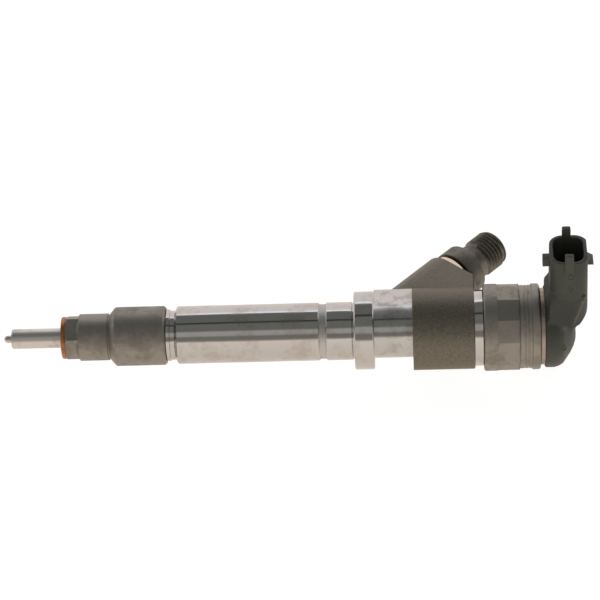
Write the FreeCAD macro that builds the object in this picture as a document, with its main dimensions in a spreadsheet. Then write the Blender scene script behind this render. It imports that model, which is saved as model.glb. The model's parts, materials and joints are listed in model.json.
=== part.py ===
import FreeCAD, Part
import math
import os
import re

import Sketcher

# Solenoid diesel fuel injector, millimetres.
# +X runs along the injector from the nozzle tip to the solenoid cap, +Z is the way the electrical
# connector opens and the high-pressure inlet leans towards +Y. The origin is on the injector's axis,
# at the front face of the copper washer, which is the face that seals against the cylinder head.

Vector = FreeCAD.Vector
Rotation = FreeCAD.Rotation
Placement = FreeCAD.Placement

OUT_FOLDER = "parts"
PIN_RADIUS = 0.6
PIN_PLACES = ((-2.85, -4.94), (-2.85, 4.94))  # y, z of the locating pins
BALL_RADIUS = 0.8
LEAD_RADIUS = 0.4
LEAD_SPACING = 5.2                           # between the two terminals
LEAD_Z = 6.6                                 # the coil's leads, above the axis
BLADE_THICK = 0.8
BLADE_WIDTH = 2.6
BLADE_DEPTH = 5.0                            # blade tips below the rim of the socket
ALONG_X = Rotation(Vector(0, 1, 0), 90)      # turns a primitive's own Z axis onto +X

# Driving dimensions: alias, value, what it is. "_x" is a station on the injector's axis and "_at" one
# on the inlet's own axis, which starts where it crosses the injector's axis.
SIZES = [
    ("tip_x", -20.9, "end of the sac dome"),
    ("sac_radius", 1.3, "radius of the sac dome"),
    ("shank_end_x", -18.3, "flat end of the nozzle shank"),
    ("shank_radius", 3.5, "nozzle shank"),
    ("shank_step_x", -0.1, "end of the full shank, just ahead of the washer"),
    ("nozzle_seat_x", 12.0, "shoulder of the nozzle, held by the nut"),
    ("nozzle_head_radius", 6.9, "nozzle behind its shoulder"),
    ("nozzle_back_x", 22.5, "joint face between nozzle and injector body"),
    ("needle_radius", 2.0, "guide length of the needle"),
    ("needle_gap", 0.02, "radial clearance of a guide"),
    ("needle_stem_radius", 1.6, "needle below its guide"),
    ("nozzle_bore", 2.4, "fuel annulus round the needle stem"),
    ("gallery_radius", 4.6, "pressure gallery of the nozzle"),
    ("washer_thick", 1.5, "copper washer"),
    ("washer_radius", 7.5, "copper washer"),
    ("nut_hex_end_x", 6.3, "end of the hexagon on the nozzle nut"),
    ("nut_hex_corner", 8.3, "hexagon of the nozzle nut, corner to axis"),
    ("nut_nose_radius", 8.35, "nozzle nut behind its hexagon"),
    ("nut_nose_end_x", 16.6, "nozzle nut, end of the slim length"),
    ("nut_cone_x", 17.4, "nozzle nut, start of the cone"),
    ("nut_big_x", 18.9, "nozzle nut, start of the thick length"),
    ("nut_big_radius", 10.5, "nozzle nut, thick length"),
    ("nut_end_x", 37.2, "open end of the nozzle nut"),
    ("nut_thread_radius", 8.5, "thread between nozzle nut and body"),
    ("neck_end_x", 41.4, "end of the relief behind the nozzle nut"),
    ("neck_radius", 9.2, "relief behind the nozzle nut"),
    ("shaft_radius", 10.3, "ground shaft of the body"),
    ("groove_x", 92.85, "middle of the groove in the shaft"),
    ("groove_depth", 0.6, "groove in the shaft"),
    ("collar_x", 104.0, "front face of the collar"),
    ("collar_back_x", 111.0, "back face of the collar"),
    ("collar_radius", 13.86, "collar"),
    ("clamp_back_x", 124.6, "back of the gap for the clamping fork"),
    ("clamp_core", 9.85, "round core of the clamp gap, before its flats are milled"),
    ("clamp_flat", 9.45, "clamp flat to axis"),
    ("head_radius", 14.5, "forged head"),
    ("head_back_x", 146.4, "back face of the forged head"),
    ("land_radius", 13.5, "ground ring behind the head"),
    ("land_end_x", 149.5, "end of the ground ring"),
    ("body_end_x", 159.5, "back end of the body, inside the solenoid nut"),
    ("body_thread", 13.0, "thread between body and solenoid nut"),
    ("piston_radius", 2.15, "control piston"),
    ("body_bore", 2.7, "bore for the control piston"),
    ("spring_bore", 4.4, "chamber of the needle spring"),
    ("spring_top_x", 38.0, "end of the needle spring's chamber"),
    ("feed_radius", 0.9, "drilled fuel way"),
    ("feed_offset", 6.0, "fuel way to axis"),
    ("valve_seat_x", 128.0, "face that the valve piece stands on"),
    ("valve_stem_x", 113.0, "front end of the valve piece"),
    ("valve_stem_radius", 4.6, "stem of the valve piece"),
    ("valve_flange_end_x", 132.0, "back face of the valve piece"),
    ("valve_flange_radius", 8.6, "flange of the valve piece"),
    ("valve_chamber", 10.4, "bore over the valve piece"),
    ("clamp_nut_end_x", 138.0, "back of the valve clamp nut"),
    ("guide_end_x", 141.5, "back of the armature guide"),
    ("magnet_x", 149.6, "front face of the magnet core"),
    ("magnet_back_x", 163.0, "back face of the magnet core"),
    ("magnet_radius", 10.0, "magnet core"),
    ("sleeve_bore", 10.05, "inside of the solenoid sleeve"),
    ("sleeve_radius", 11.6, "front length of the solenoid sleeve"),
    ("sleeve_socket", 11.65, "bore of the body that takes the sleeve"),
    ("inlet_x", 114.9, "where the inlet's axis crosses the injector's axis"),
    ("inlet_angle", 48.0, "inlet's axis to the injector's axis, degrees"),
    ("boss_radius", 10.15, "half width of the inlet boss"),
    ("boss_top_at", 33.9, "top face of the inlet boss"),
    ("seat_ring_at", 36.5, "top of the turned seat ring on the boss"),
    ("seat_ring_radius", 8.9, "turned seat ring on the boss"),
    ("fitting_foot_at", 23.0, "lower end of the inlet fitting"),
    ("fitting_thread_in", 6.4, "thread of the fitting inside the boss"),
    ("fitting_flange_at", 37.7, "underside of the fitting's flange"),
    ("fitting_flange_end_at", 44.9, "top of the fitting's flange"),
    ("fitting_flange_radius", 9.2, "flange of the inlet fitting"),
    ("fitting_neck_radius", 6.5, "neck of the inlet fitting"),
    ("fitting_thread_at", 49.8, "start of the inlet thread"),
    ("fitting_end_at", 59.2, "end of the inlet fitting"),
    ("fitting_thread_radius", 7.0, "inlet thread, M14 x 1.5"),
    ("fitting_bore", 1.9, "bore of the inlet fitting"),
    ("cap_nut_x", 149.6, "front face of the solenoid nut"),
    ("cap_nut_ring_end_x", 154.4, "end of the nut's round front ring"),
    ("cap_nut_wrench_end_x", 162.0, "end of the nut's wrench section"),
    ("cap_nut_band_end_x", 166.6, "end of the nut's round band"),
    ("cap_nut_end_x", 169.4, "back face of the solenoid nut"),
    ("cap_nut_ring_radius", 15.4, "front ring of the solenoid nut"),
    ("cap_nut_corner", 15.35, "wrench section, corner to axis"),
    ("cap_nut_band_radius", 14.75, "round band of the solenoid nut"),
    ("cap_nut_rim_radius", 15.2, "rim of the solenoid nut"),
    ("cap_nut_lip", 12.4, "opening of the solenoid nut"),
    ("sleeve_neck_radius", 12.3, "sleeve inside the nut's lip"),
    ("sleeve_collar_radius", 13.6, "rolled collar that keeps the nut on"),
    ("cap_x", 170.95, "front face of the plastic cap"),
    ("cap_back_x", 181.9, "back face of the plastic cap"),
    ("cap_radius", 14.6, "plastic cap"),
    ("cap_cone_x", 175.4, "where the cap starts to taper"),
    ("cap_back_radius", 5.0, "flat back face of the cap"),
    ("tower_front_x", 172.5, "side of the connector tower towards the nozzle"),
    ("tower_back_x", 185.45, "back of the connector tower at its rim"),
    ("tower_draft", 0.45, "how far the tower's back leans out towards its heel"),
    ("tower_width", 15.7, "connector tower along Y"),
    ("tower_top", 35.0, "rim of the connector socket"),
    ("tower_corner", 4.8, "upright corners of the connector tower"),
    ("tower_floor", 20.0, "floor of the connector socket"),
    ("tower_wall", 1.2, "wall of the connector socket"),
    ("foot_top", 17.6, "top of the tower's foot, level with the front of the cap"),
    ("foot_run", 3.2, "rise of the foot's sloping top"),
    ("heel_top", 10.5, "where the tower's back turns in towards the cap"),
    ("heel_foot_x", 179.6, "foot of the tower's sloping back, inside the cap"),
    ("rib_width", 3.0, "guide ribs on the socket"),
    ("rib_rise", 3.6, "guide ribs above the rim"),
]

doc = FreeCAD.newDocument("FuelInjector")
sheet = doc.addObject("Spreadsheet::Sheet", "Sizes")
for row, (alias, value, meaning) in enumerate(SIZES, start=1):
    sheet.set("A%d" % row, meaning)
    sheet.set("B%d" % row, str(value))
    sheet.setAlias("B%d" % row, alias)
doc.recompute()
SIZE = {alias: value for alias, value, meaning in SIZES}


def bound(text):
    """An expression written in plain aliases, as the sheet's own references."""
    return re.sub(r"[a-z][a-z_]+", lambda word: "Sizes." + word.group(), str(text))


def bind(item, **expressions):
    """Binds properties of an object to expressions in the sheet's aliases."""
    for path, text in expressions.items():
        item.setExpression(path.replace("__", "."), bound(text))
    return item


# ---------------------------------------------------------------- building blocks

def outlined(body, plane_role, outline):
    """A closed sketch on one of a body's origin planes, from corners given as pairs of expressions."""
    sketch = body.newObject("Sketcher::SketchObject", body.Name + "_outline")
    plane = next(item for item in body.Origin.OriginFeatures if item.Role == plane_role)
    sketch.AttachmentSupport = [(plane, "")]
    sketch.MapMode = "FlatFace"
    points = [
        Vector(float(sheet.evalExpression(str(across))), float(sheet.evalExpression(str(up))), 0)
        for across, up in outline
    ]
    count = len(points)
    for number, point in enumerate(points):
        sketch.addGeometry(Part.LineSegment(point, points[(number + 1) % count]))
    for number in range(count):
        sketch.addConstraint(Sketcher.Constraint("Coincident", number, 2, (number + 1) % count, 1))
    for number, (point, (across, up)) in enumerate(zip(points, outline)):
        for kind, text, value in (("DistanceX", across, point.x), ("DistanceY", up, point.y)):
            index = sketch.addConstraint(Sketcher.Constraint(kind, -1, 1, number, 1, value))
            if re.search("[a-z]", str(text)):
                sketch.setExpression("Constraints[%d]" % index, bound(text))
    sketch.Visibility = False
    return sketch


def turned(label, outline):
    """A lathe-turned body about its own X axis, from its half outline as (x, radius) expressions."""
    body = doc.addObject("PartDesign::Body", label)
    sketch = outlined(body, "XZ_Plane", outline)
    spin = body.newObject("PartDesign::Revolution", label + "_turning")
    spin.Profile = sketch
    spin.ReferenceAxis = (sketch, ["H_Axis"])
    spin.Angle = 360
    return body


def slab(label, outline, width):
    """A plate of a given width about the XZ plane, from its outline as (x, z) expressions."""
    body = doc.addObject("PartDesign::Body", label)
    pad = body.newObject("PartDesign::Pad", label + "_pad")
    pad.Profile = outlined(body, "XZ_Plane", outline)
    pad.SideType = "Symmetric"
    bind(pad, Length=width)
    return body


def cylinder(label, x, length, radius, y=0, z=0):
    """A cylinder along X."""
    item = doc.addObject("Part::Cylinder", label)
    item.Placement = Placement(Vector(), ALONG_X)
    bind(item, Radius=radius, Height=length)
    bind(item, Placement__Base__x=x, Placement__Base__y=y, Placement__Base__z=z)
    return item


def cone(label, x, length, first_radius, last_radius):
    """A cone along X."""
    item = doc.addObject("Part::Cone", label)
    item.Placement = Placement(Vector(), ALONG_X)
    bind(item, Radius1=first_radius, Radius2=last_radius, Height=length, Placement__Base__x=x)
    return item


def block(label, x, y, z, length, width, height):
    """A box from its lowest corner."""
    item = doc.addObject("Part::Box", label)
    bind(item, Length=length, Width=width, Height=height)
    bind(item, Placement__Base__x=x, Placement__Base__y=y, Placement__Base__z=z)
    return item


def prism(label, sides, x, length, corner, turn):
    """A regular prism along X, whose first corner is turned from +Z by an angle about X."""
    item = doc.addObject("Part::Prism", label)
    item.Polygon = sides
    item.Placement = Placement(Vector(), Rotation(Vector(1, 0, 0), turn).multiply(ALONG_X))
    bind(item, Circumradius=corner, Height=length, Placement__Base__x=x)
    return item


def torus(label, x, ring, tube):
    """A ring about X."""
    item = doc.addObject("Part::Torus", label)
    item.Placement = Placement(Vector(), ALONG_X)
    bind(item, Radius1=ring, Radius2=tube, Placement__Base__x=x)
    return item


def fused(label, items):
    item = doc.addObject("Part::MultiFuse", label)
    item.Shapes = items
    item.Refine = True
    return item


def cut(label, base, tool):
    item = doc.addObject("Part::Cut", label)
    item.Base = base
    item.Tool = tool
    item.Refine = True
    return item


def common(label, first, second):
    item = doc.addObject("Part::Common", label)
    item.Base = first
    item.Tool = second
    item.Refine = True
    return item


def rounded(label, base, radius, wanted):
    """Rounds the edges of a finished object for which wanted(edge) is true."""
    doc.recompute()
    item = doc.addObject("Part::Fillet", label)
    item.Base = base
    item.Edges = [
        (number, radius, radius)
        for number, edge in enumerate(base.Shape.Edges, start=1)
        if wanted(edge)
    ]
    return item


def coil_spring(label, x, length, mean_radius, wire_radius, turns):
    """A coil spring along X."""
    helix = doc.addObject("Part::Helix", label + "_path")
    helix.Radius = mean_radius
    helix.Pitch = length / turns
    helix.Height = length
    wire = doc.addObject("Part::Circle", label + "_wire")
    wire.Radius = wire_radius
    wire.Placement = Placement(Vector(mean_radius, 0, 0), Rotation(Vector(1, 0, 0), 90))
    item = doc.addObject("Part::Sweep", label)
    item.Sections = [wire]
    item.Spine = (helix, ["Edge1"])
    item.Solid = True
    item.Frenet = True
    item.Placement = Placement(Vector(x, 0, 0), ALONG_X)
    return item


nodes = []


def node(name, item):
    """Names a finished sub-part and keeps it for export."""
    item.Label = name
    nodes.append((name, item))
    return item


def place_on_inlet(item):
    """Puts an object that was made along X onto the inlet's own axis."""
    item.Placement = Placement(
        Vector(SIZE["inlet_x"], 0, 0), Rotation(Vector(0, 0, 1), SIZE["inlet_angle"])
    )
    return bind(item, Placement__Base__x="inlet_x", Placement__Rotation__Angle="inlet_angle")


def on_inlet(item):
    """The same for a primitive whose own placement is already bound to the sheet."""
    holder = doc.addObject("Part::Compound", item.Name + "_on_inlet")
    holder.Links = [item]
    return place_on_inlet(holder)


# ---------------------------------------------------------------- nozzle end

def nozzle_body():
    sac_bore = 0.5
    blank = turned("nozzle_turned", [
        ("shank_end_x - 0.2", 0),
        ("shank_end_x", "sac_radius + 0.5"),
        ("shank_end_x + 0.25", "shank_radius - 0.25"),
        ("shank_end_x + 0.8", "shank_radius"),
        ("shank_step_x", "shank_radius"),
        ("shank_step_x", "shank_radius - 0.35"),
        ("nozzle_seat_x", "shank_radius - 0.35"),
        ("nozzle_seat_x", "nozzle_head_radius - 0.6"),
        ("nozzle_seat_x + 0.6", "nozzle_head_radius"),
        ("nozzle_back_x", "nozzle_head_radius"),
        ("nozzle_back_x", "needle_radius + needle_gap"),
        ("nozzle_seat_x + 5.4", "needle_radius + needle_gap"),
        ("nozzle_seat_x + 4.6", "gallery_radius"),
        ("nozzle_seat_x + 2", "gallery_radius"),
        ("nozzle_seat_x + 1.2", "nozzle_bore"),
        ("shank_end_x + 3.4", "nozzle_bore"),
        ("shank_end_x + 0.6", sac_bore),
        ("shank_end_x + 0.6", 0),
    ])
    dome = doc.addObject("Part::Sphere", "sac_dome")
    bind(dome, Radius="sac_radius", Placement__Base__x="tip_x + sac_radius")
    neck = cylinder(
        "sac_neck", "tip_x + sac_radius", "shank_end_x - tip_x - sac_radius + 0.3", "sac_radius"
    )
    solid = fused("nozzle_solid", [blank, dome, neck])
    sac = cylinder("sac_hole", "tip_x + sac_radius", "shank_end_x - tip_x", sac_bore)
    feed = cylinder("nozzle_feed", "nozzle_seat_x + 3", 8, "feed_radius", y=5.2)
    pin_holes = [
        cylinder("nozzle_pin_hole", "nozzle_back_x - 1.7", 2, PIN_RADIUS + 0.02, y=y, z=z)
        for y, z in PIN_PLACES
    ]
    hollow = fused("nozzle_hollow", [sac, feed] + pin_holes)
    node("nozzle_body", cut("nozzle_cut", solid, hollow))


def nozzle_needle():
    node("nozzle_needle", turned("needle_turned", [
        ("shank_end_x + 0.65", 0),
        ("shank_end_x + 0.65", 0.5),
        ("shank_end_x + 2.2", 1.55),
        ("shank_end_x + 2.3", "needle_stem_radius"),
        ("nozzle_seat_x + 4.4", "needle_stem_radius"),
        ("nozzle_seat_x + 5", "needle_radius"),
        ("nozzle_back_x - 0.5", "needle_radius"),
        ("nozzle_back_x - 0.3", 1.5),
        ("nozzle_back_x + 1.1", 1.5),
        ("nozzle_back_x + 1.1", 0),
    ]))


def copper_washer():
    node("copper_washer", turned("washer_turned", [
        (0, "shank_radius + 0.25"),
        (0, "washer_radius - 0.2"),
        (0.2, "washer_radius"),
        ("washer_thick - 0.2", "washer_radius"),
        ("washer_thick", "washer_radius - 0.2"),
        ("washer_thick", "shank_radius + 0.25"),
    ]))


def nozzle_nut():
    blank = turned("nozzle_nut_turned", [
        ("washer_thick", "shank_radius + 0.4"),
        ("washer_thick", "nut_nose_radius - 0.8"),
        ("washer_thick + 0.7", "nut_nose_radius"),
        ("nut_nose_end_x", "nut_nose_radius"),
        ("nut_nose_end_x + 0.15", "nut_nose_radius - 0.35"),
        ("nut_cone_x - 0.15", "nut_nose_radius - 0.35"),
        ("nut_cone_x", "nut_nose_radius"),
        ("nut_big_x", "nut_big_radius - 0.35"),
        ("nut_big_x + 0.5", "nut_big_radius"),
        ("nut_end_x - 0.7", "nut_big_radius"),
        ("nut_end_x", "nut_big_radius - 0.7"),
        ("nut_end_x", "nut_thread_radius + 0.05"),
        ("nozzle_back_x - 0.5", "nut_thread_radius + 0.05"),
        ("nozzle_back_x - 1.7", "nozzle_head_radius + 0.1"),
        ("nozzle_seat_x", "nozzle_head_radius + 0.1"),
        ("nozzle_seat_x", "shank_radius + 0.4"),
    ])
    hexagon = prism("nut_hexagon", 6, 0, "nut_hex_end_x + 3", "nut_hex_corner", -4.5)
    runout = cone(
        "nut_runout", "nut_hex_end_x - 0.8", 5, "nut_hex_corner * 0.866", "nut_hex_corner + 5.2"
    )
    rest = cylinder("nut_rest", "nut_hex_end_x + 1.2", 40, "nut_big_radius + 2")
    gauge = fused("nut_gauge", [hexagon, runout, rest])
    node("nozzle_nut", common("nozzle_nut_shape", blank, gauge))


def locating_pins():
    pins = [
        cylinder("locating_pin", "nozzle_back_x - 1.6", 3.2, PIN_RADIUS, y=y, z=z)
        for y, z in PIN_PLACES
    ]
    node("locating_pins", fused("locating_pin_pair", pins))


def needle_spring_set():
    node("spring_seat", turned("spring_seat_turned", [
        ("nozzle_back_x + 1.15", 0),
        ("nozzle_back_x + 1.15", 3.9),
        ("nozzle_back_x + 2.65", 3.9),
        ("nozzle_back_x + 2.65", 2.3),
        ("nozzle_back_x + 3.4", 2.3),
        ("nozzle_back_x + 3.4", 0),
    ]))
    start = SIZE["nozzle_back_x"] + 3.2
    length = SIZE["spring_top_x"] - 1.6 - start
    node("needle_spring", coil_spring("needle_spring_coil", start, length, 3.2, 0.5, 6))
    node("spring_shim", turned("spring_shim_turned", [
        ("spring_top_x - 1", "body_bore"),
        ("spring_top_x - 1", 4.2),
        ("spring_top_x", 4.2),
        ("spring_top_x", "body_bore"),
    ]))


def control_piston():
    node("control_piston", turned("piston_turned", [
        ("nozzle_back_x + 3.45", 0),
        ("nozzle_back_x + 3.45", 1.6),
        ("spring_top_x + 2", 1.6),
        ("spring_top_x + 4", "piston_radius"),
        ("valve_seat_x - 4.4", "piston_radius"),
        ("valve_seat_x - 4", "piston_radius - 0.4"),
        ("valve_seat_x - 4", 0),
    ]))


# ---------------------------------------------------------------- injector body

def body_outside():
    """The turned outside of the body, from the nozzle joint to the thread for the solenoid nut."""
    return turned("body_outside", [
        ("nozzle_back_x", 0),
        ("nozzle_back_x", "nut_thread_radius - 0.9"),
        ("nozzle_back_x + 0.9", "nut_thread_radius"),
        ("nut_end_x + 0.3", "nut_thread_radius"),
        ("nut_end_x + 0.3", "neck_radius"),
        ("nut_end_x + 1.5", "neck_radius"),
        ("nut_end_x + 1.7", "neck_radius - 0.4"),
        ("neck_end_x - 1", "neck_radius - 0.4"),
        ("neck_end_x", "shaft_radius"),
        ("groove_x - 1.5", "shaft_radius"),
        ("groove_x - 1", "shaft_radius - groove_depth"),
        ("groove_x + 1", "shaft_radius - groove_depth"),
        ("groove_x + 1.5", "shaft_radius"),
        ("collar_x - 0.7", "shaft_radius"),
        ("collar_x - 0.6", "shaft_radius - 0.3"),
        ("collar_x", "shaft_radius - 0.3"),
        ("collar_x", "collar_radius - 0.4"),
        ("collar_x + 0.4", "collar_radius"),
        ("collar_back_x - 0.4", "collar_radius"),
        ("collar_back_x", "collar_radius - 0.4"),
        ("collar_back_x", "clamp_core"),
        ("clamp_back_x", "clamp_core"),
        ("clamp_back_x", "head_radius - 0.2"),
        ("clamp_back_x + 0.2", "head_radius"),
        ("head_back_x - 0.3", "head_radius"),
        ("head_back_x", "head_radius - 0.3"),
        ("head_back_x", "land_radius"),
        ("land_end_x - 0.2", "land_radius"),
        ("land_end_x", "land_radius - 0.2"),
        ("land_end_x", "body_thread"),
        ("body_end_x - 0.3", "body_thread"),
        ("body_end_x", "body_thread - 0.3"),
        ("body_end_x", 0),
    ])


def body_hollow():
    """The stepped bore through the body."""
    return turned("body_hollow", [
        ("nozzle_back_x - 1", 0),
        ("nozzle_back_x - 1", "spring_bore"),
        ("spring_top_x", "spring_bore"),
        ("spring_top_x", "body_bore"),
        ("valve_stem_x - 1", "body_bore"),
        ("valve_stem_x - 1", "valve_stem_radius + 0.05"),
        ("valve_seat_x", "valve_stem_radius + 0.05"),
        ("valve_seat_x", "valve_chamber"),
        ("magnet_x - 0.05", "valve_chamber"),
        ("magnet_x - 0.05", "sleeve_socket"),
        ("body_end_x + 1", "sleeve_socket"),
        ("body_end_x + 1", 0),
    ])


def inlet_boss():
    """The forged boss: a round back and two flat sides, cut off level with the back of the head."""
    start = 8
    back = on_inlet(cylinder("boss_back", start, "boss_top_at - 8", "boss_radius"))
    sides = on_inlet(block(
        "boss_sides", start, -24, "0 - boss_radius", "boss_top_at - 8", 24, "boss_radius * 2"
    ))
    forging = fused("boss_forging", [back, sides])
    seat_ring = on_inlet(cylinder("boss_seat_ring", 20, "seat_ring_at - 20", "seat_ring_radius"))
    gap_length = "clamp_back_x - collar_back_x"
    behind_head = block("boss_trim", "head_back_x", -60, -30, 60, 120, 60)
    fork_gap = cylinder("fork_gap", "collar_back_x - 10", gap_length + " + 10", "head_radius")
    trims = fused("boss_trims", [behind_head, fork_gap])
    ring_gap = cylinder("ring_fork_gap", "collar_back_x", gap_length, "head_radius")
    return fused("inlet_boss", [
        cut("boss_trimmed", forging, trims), cut("seat_ring_trimmed", seat_ring, ring_gap)
    ])


def clamp_web():
    """The rib on the inlet's side of the clamp gap, as thick as the head until it is milled."""
    length = "clamp_back_x - collar_back_x"
    side = block("web_block", "collar_back_x", 0, -12, length, "head_radius", 24)
    limit = cylinder("web_limit", "collar_back_x", length, "head_radius")
    return common("clamp_web", side, limit)


def injector_body():
    solid = fused("body_solid", [body_outside(), clamp_web(), inlet_boss()])
    fitting_hole = on_inlet(cylinder(
        "fitting_hole", "fitting_foot_at", 40, "fitting_thread_in + 0.03"
    ))
    inlet_way = on_inlet(cylinder("inlet_way", 6.5, "fitting_foot_at - 6", 1.2))
    feed = cylinder("body_feed", "nozzle_back_x - 1", 99, "feed_radius", y=5.9)
    pin_holes = [
        cylinder("body_pin_hole", "nozzle_back_x - 0.5", 2.3, PIN_RADIUS + 0.02, y=y, z=z)
        for y, z in PIN_PLACES
    ]
    flats = [
        block("flat_mill", "collar_back_x", -20, z, "clamp_back_x - collar_back_x", 60, 6)
        for z in ("clamp_flat", "0 - clamp_flat - 6")
    ]
    hollows = fused(
        "body_hollows", [body_hollow(), fitting_hole, inlet_way, feed] + flats + pin_holes
    )
    node("injector_body", cut("body_cut", solid, hollows))


# ---------------------------------------------------------------- inlet

def inlet_fitting():
    fitting = turned("fitting_turned", [
        ("fitting_foot_at + 0.05", "fitting_bore"),
        ("fitting_foot_at + 0.05", "fitting_thread_in - 0.6"),
        ("fitting_foot_at + 0.65", "fitting_thread_in"),
        ("seat_ring_at - 0.6", "fitting_thread_in"),
        ("seat_ring_at - 0.2", "fitting_thread_in - 0.4"),
        ("fitting_flange_at", "fitting_thread_in - 0.4"),
        ("fitting_flange_at", "fitting_flange_radius - 0.3"),
        ("fitting_flange_at + 0.3", "fitting_flange_radius"),
        ("fitting_flange_end_at - 1.2", "fitting_flange_radius"),
        ("fitting_flange_end_at - 0.3", "fitting_flange_radius - 0.8"),
        ("fitting_flange_end_at", "fitting_flange_radius - 1.7"),
        ("fitting_flange_end_at + 0.2", "fitting_neck_radius"),
        ("fitting_thread_at - 0.6", "fitting_neck_radius"),
        ("fitting_thread_at", "fitting_thread_radius"),
        ("fitting_end_at - 0.5", "fitting_thread_radius"),
        ("fitting_end_at", "fitting_thread_radius - 0.5"),
        ("fitting_end_at", 4.4),
        ("fitting_end_at - 4.3", "fitting_bore"),
    ])
    node("inlet_fitting", place_on_inlet(fitting))


def edge_filter():
    """The rod filter in the fitting: a round stick with slim end lands."""
    stick = turned("filter_turned", [
        ("fitting_foot_at + 3", 0),
        ("fitting_foot_at + 3", "fitting_bore - 0.03"),
        ("fitting_foot_at + 6", "fitting_bore - 0.03"),
        ("fitting_foot_at + 6.5", "fitting_bore - 0.4"),
        ("fitting_foot_at + 22", "fitting_bore - 0.4"),
        ("fitting_foot_at + 22.5", "fitting_bore - 0.03"),
        ("fitting_foot_at + 26", "fitting_bore - 0.03"),
        ("fitting_foot_at + 26", 0),
    ])
    node("edge_filter", place_on_inlet(stick))


# ---------------------------------------------------------------- control valve

def valve_set():
    node("valve_piece", turned("valve_piece_turned", [
        ("valve_stem_x", "piston_radius + needle_gap"),
        ("valve_stem_x", "valve_stem_radius - 0.5"),
        ("valve_stem_x + 0.5", "valve_stem_radius"),
        ("valve_seat_x - 6", "valve_stem_radius"),
        ("valve_seat_x - 5.5", "valve_stem_radius - 0.6"),
        ("valve_seat_x - 1.5", "valve_stem_radius - 0.6"),
        ("valve_seat_x - 1", "valve_stem_radius"),
        ("valve_seat_x + 0.02", "valve_stem_radius"),
        ("valve_seat_x + 0.02", "valve_flange_radius"),
        ("valve_flange_end_x - 0.4", "valve_flange_radius"),
        ("valve_flange_end_x", "valve_flange_radius - 0.4"),
        ("valve_flange_end_x", BALL_RADIUS + 0.4),
        ("valve_flange_end_x - 0.7", BALL_RADIUS - 0.3),
        ("valve_seat_x - 2", BALL_RADIUS - 0.3),
        ("valve_seat_x - 3", "piston_radius + needle_gap"),
    ]))
    ball = doc.addObject("Part::Sphere", "ball")
    ball.Radius = BALL_RADIUS
    apex = BALL_RADIUS * math.sqrt(2) - (BALL_RADIUS + 0.4)
    bind(ball, Placement__Base__x="valve_flange_end_x + %.3f" % (apex + 0.02))
    node("valve_ball", ball)
    node("valve_clamp_nut", cut("valve_clamp_nut_shape", turned("valve_clamp_nut_turned", [
        ("valve_flange_end_x + 0.05", 5.4),
        ("valve_flange_end_x + 0.05", "valve_chamber - 0.7"),
        ("valve_flange_end_x + 0.7", "valve_chamber - 0.05"),
        ("clamp_nut_end_x", "valve_chamber - 0.05"),
        ("clamp_nut_end_x", 5.4),
    ]), fused("spanner_holes", [
        cylinder("spanner_hole", "clamp_nut_end_x - 3", 4, 0.9, y=y, z=0) for y in (-7.8, 7.8)
    ])))


def armature_set():
    bolt_radius = 1.95
    node("ball_retainer", turned("ball_retainer_turned", [
        ("valve_flange_end_x + 0.85", 0),
        ("valve_flange_end_x + 0.85", BALL_RADIUS + 0.05),
        ("valve_flange_end_x + 0.35", BALL_RADIUS + 0.05),
        ("valve_flange_end_x + 0.35", bolt_radius - 0.3),
        ("valve_flange_end_x + 0.65", bolt_radius),
        ("valve_flange_end_x + 2.4", bolt_radius),
        ("valve_flange_end_x + 2.4", 0),
    ]))
    node("armature_guide", cut("armature_guide_shape", turned("armature_guide_turned", [
        ("clamp_nut_end_x + 0.05", bolt_radius + 0.02),
        ("clamp_nut_end_x + 0.05", "valve_chamber - 0.05"),
        ("guide_end_x", "valve_chamber - 0.05"),
        ("guide_end_x", 4.4),
        ("guide_end_x - 0.8", 4.4),
        ("guide_end_x - 0.8", bolt_radius + 0.02),
    ]), fused("guide_ports", [
        cylinder("guide_port", "clamp_nut_end_x - 1", 8, 1.1, y=y, z=z)
        for y, z in ((0, 7), (0, -7), (7, 0), (-7, 0))
    ])))
    node("armature_bolt", turned("armature_bolt_turned", [
        ("valve_flange_end_x + 2.45", 0),
        ("valve_flange_end_x + 2.45", bolt_radius - 0.3),
        ("valve_flange_end_x + 2.75", bolt_radius),
        ("magnet_x - 0.2", bolt_radius),
        ("magnet_x - 0.2", 2.7),
        ("magnet_x + 0.8", 2.7),
        ("magnet_x + 0.8", 1.5),
        ("magnet_x + 2.4", 1.5),
        ("magnet_x + 2.4", 0),
    ]))
    slot_places = ((4, -0.6, 6, 1.2), (-10, -0.6, 6, 1.2), (-0.6, 4, 1.2, 6), (-0.6, -10, 1.2, 6))
    slots = [
        block("plate_slot", "magnet_x - 6", y, z, 8, width, height)
        for y, z, width, height in slot_places
    ]
    node("armature_plate", cut("armature_plate_shape", turned("armature_plate_turned", [
        ("magnet_x - 2.6", bolt_radius + 0.02),
        ("magnet_x - 2.6", 3),
        ("magnet_x - 2.2", 8.8),
        ("magnet_x - 0.22", 8.8),
        ("magnet_x - 0.22", bolt_radius + 0.02),
    ]), fused("plate_slots", slots)))
    start = SIZE["guide_end_x"] - 0.3
    length = SIZE["magnet_x"] - 2.6 - 0.5 - start
    node("return_spring", coil_spring("return_spring_coil", start, length, 3.4, 0.3, 5))
    node("stroke_spacer", turned("stroke_spacer_turned", [
        ("guide_end_x + 0.02", 9.3),
        ("guide_end_x + 0.02", "valve_chamber - 0.05"),
        ("magnet_x - 0.06", "valve_chamber - 0.05"),
        ("magnet_x - 0.06", 9.3),
    ]))


# ---------------------------------------------------------------- solenoid

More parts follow.
